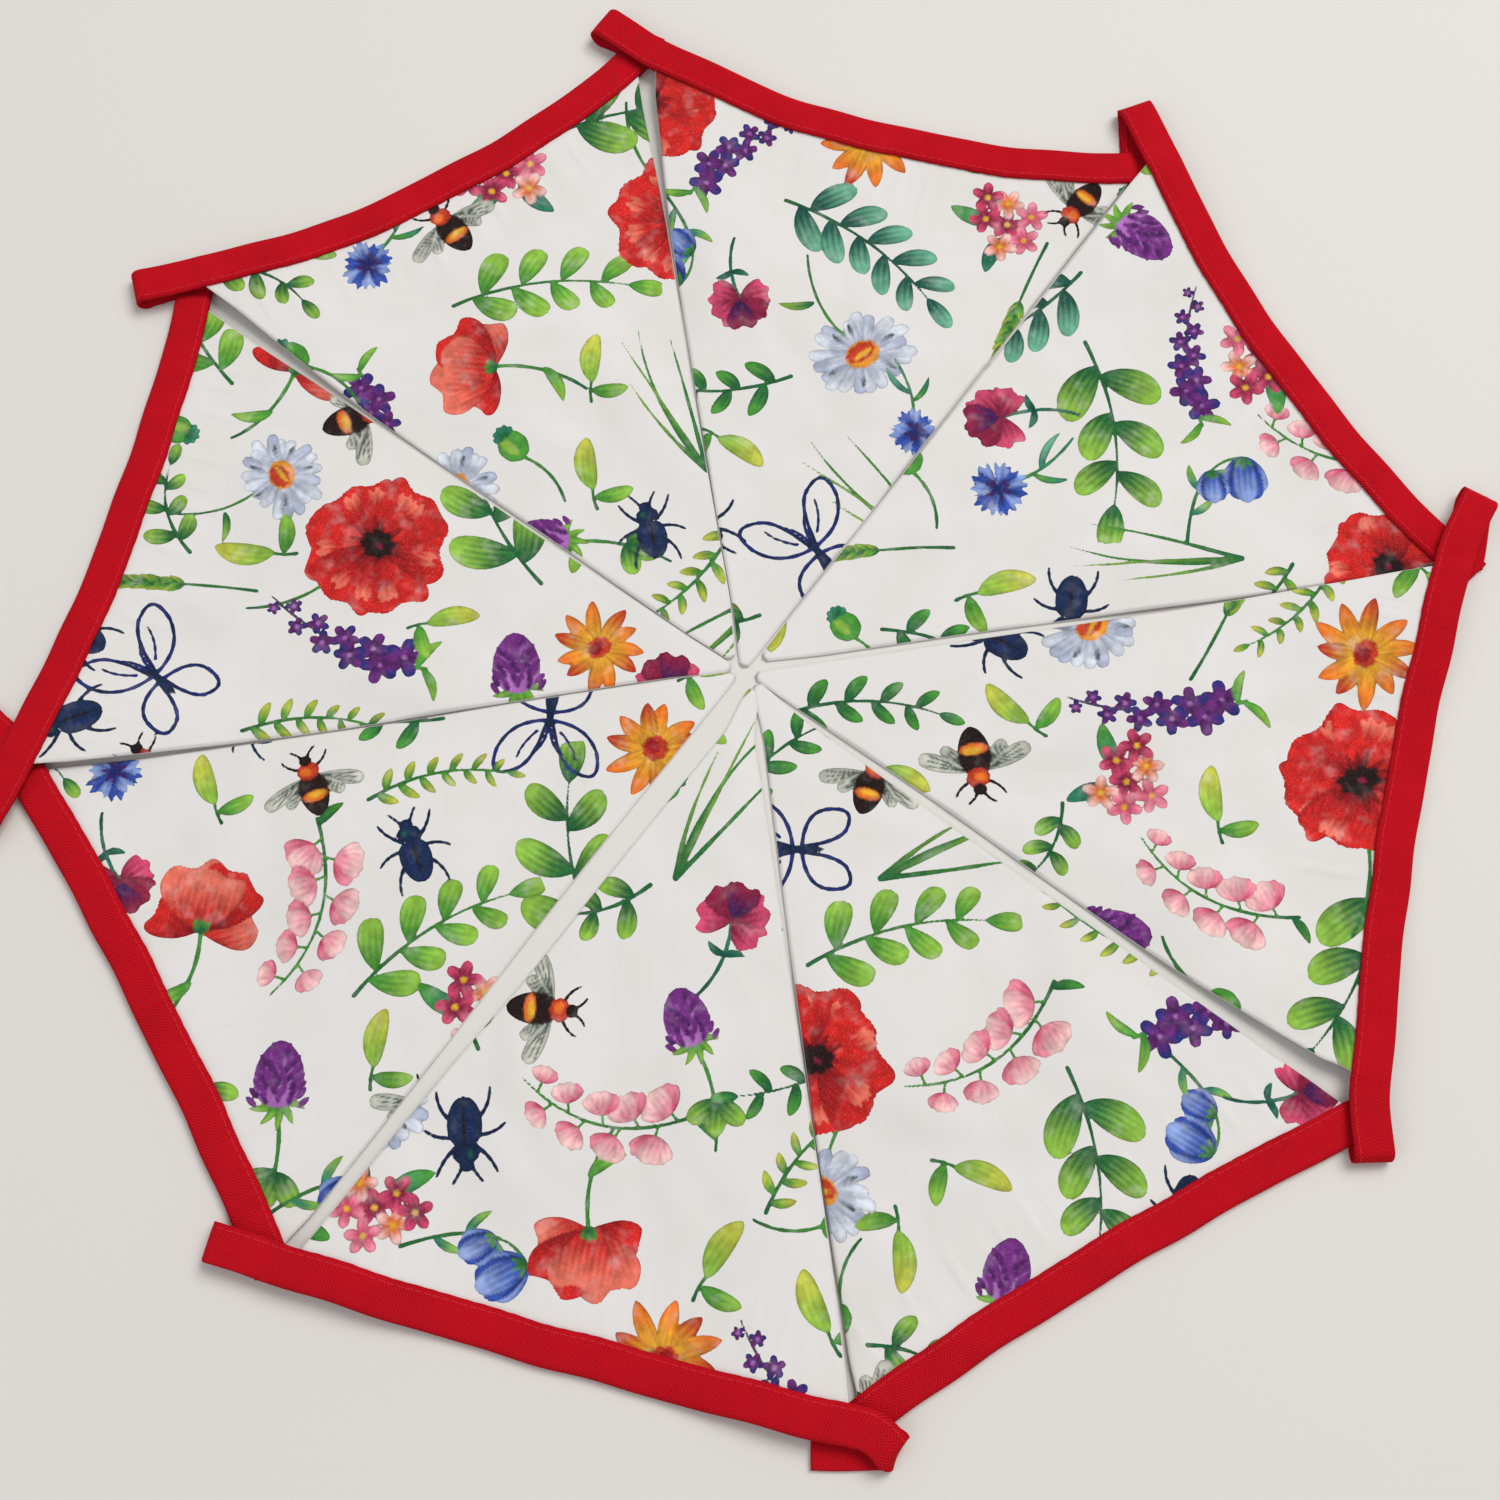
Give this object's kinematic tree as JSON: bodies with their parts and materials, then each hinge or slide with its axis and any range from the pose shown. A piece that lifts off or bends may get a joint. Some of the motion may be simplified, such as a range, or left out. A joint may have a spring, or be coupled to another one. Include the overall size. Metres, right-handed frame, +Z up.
{
  "type": "fabric bunting",
  "caption": "Triangular printed cotton flags on a folded red tape with short loops between them and two free ends, laid flat as a wheel with the flags' points together.",
  "frame": {"origin": "middle of the laid-out bunting's outline, on the surface it lies on", "axes": "+Z up from the surface, +X to the picture's right, +Y to the picture's top; the tape's two free ends are toward -X"},
  "size_m": [0.5392, 0.5086, 0.0076],
  "materials": {
    "printed_cotton": "plain woven cotton, printed with scattered meadow flowers on warm white",
    "red_tape": "woven red cotton tape with fine slanted ribs"
  },
  "bodies": {
    "root": {"flag_a": "printed_cotton", "flag_b": "printed_cotton", "flag_c": "printed_cotton", "flag_d": "printed_cotton", "flag_e": "printed_cotton", "flag_f": "printed_cotton", "flag_g": "printed_cotton", "flag_h": "printed_cotton", "binding_tape": "red_tape"}
  },
  "joints": []
}
